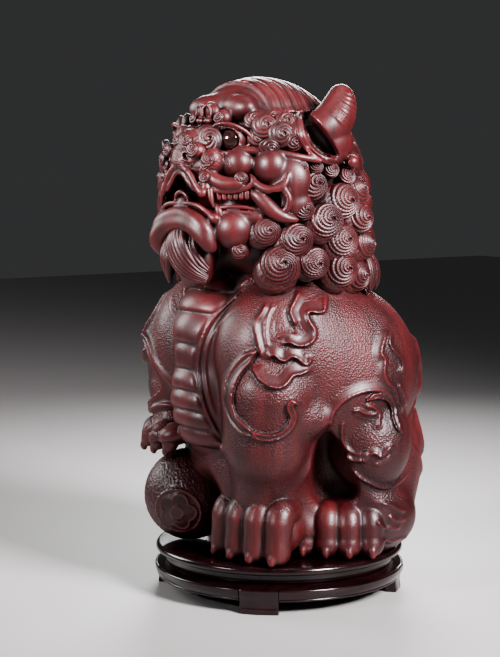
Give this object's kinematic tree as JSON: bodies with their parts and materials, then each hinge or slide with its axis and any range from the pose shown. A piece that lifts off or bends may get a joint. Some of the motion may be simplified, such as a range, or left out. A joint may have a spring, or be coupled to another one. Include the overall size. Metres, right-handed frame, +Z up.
{
  "type": "guardian lion figurine",
  "caption": "Carved dark red rosewood guardian lion seated with one forepaw on a ball, loose on a round four-footed lacquered wooden stand.",
  "frame": {"origin": "on the floor under the middle of the stand", "axes": "+Z up; the lion's chest faces -Y; the lion's left side is +X"},
  "size_m": [0.2157, 0.2216, 0.4003],
  "materials": {
    "carved_rosewood": "semi-gloss wax",
    "stand_lacquered_wood": "gloss",
    "eye_dark_glass": "gloss"
  },
  "bodies": {
    "stand": {"stand_top": "stand_lacquered_wood", "waist_1": "stand_lacquered_wood", "waist_2": "stand_lacquered_wood", "waist_3": "stand_lacquered_wood", "waist_4": "stand_lacquered_wood", "apron_1": "stand_lacquered_wood", "apron_2": "stand_lacquered_wood", "apron_3": "stand_lacquered_wood", "apron_4": "stand_lacquered_wood", "foot_1": "stand_lacquered_wood", "foot_2": "stand_lacquered_wood", "foot_3": "stand_lacquered_wood", "foot_4": "stand_lacquered_wood"},
    "figure": {"lion_figure": "carved_rosewood", "eye_left": "eye_dark_glass", "eye_right": "eye_dark_glass"}
  },
  "joints": [
    {"name": "figure_lift", "type": "slide", "parent": "stand", "child": "figure", "axis": [0, 0, 1], "range_m": [0, 0.12]}
  ]
}
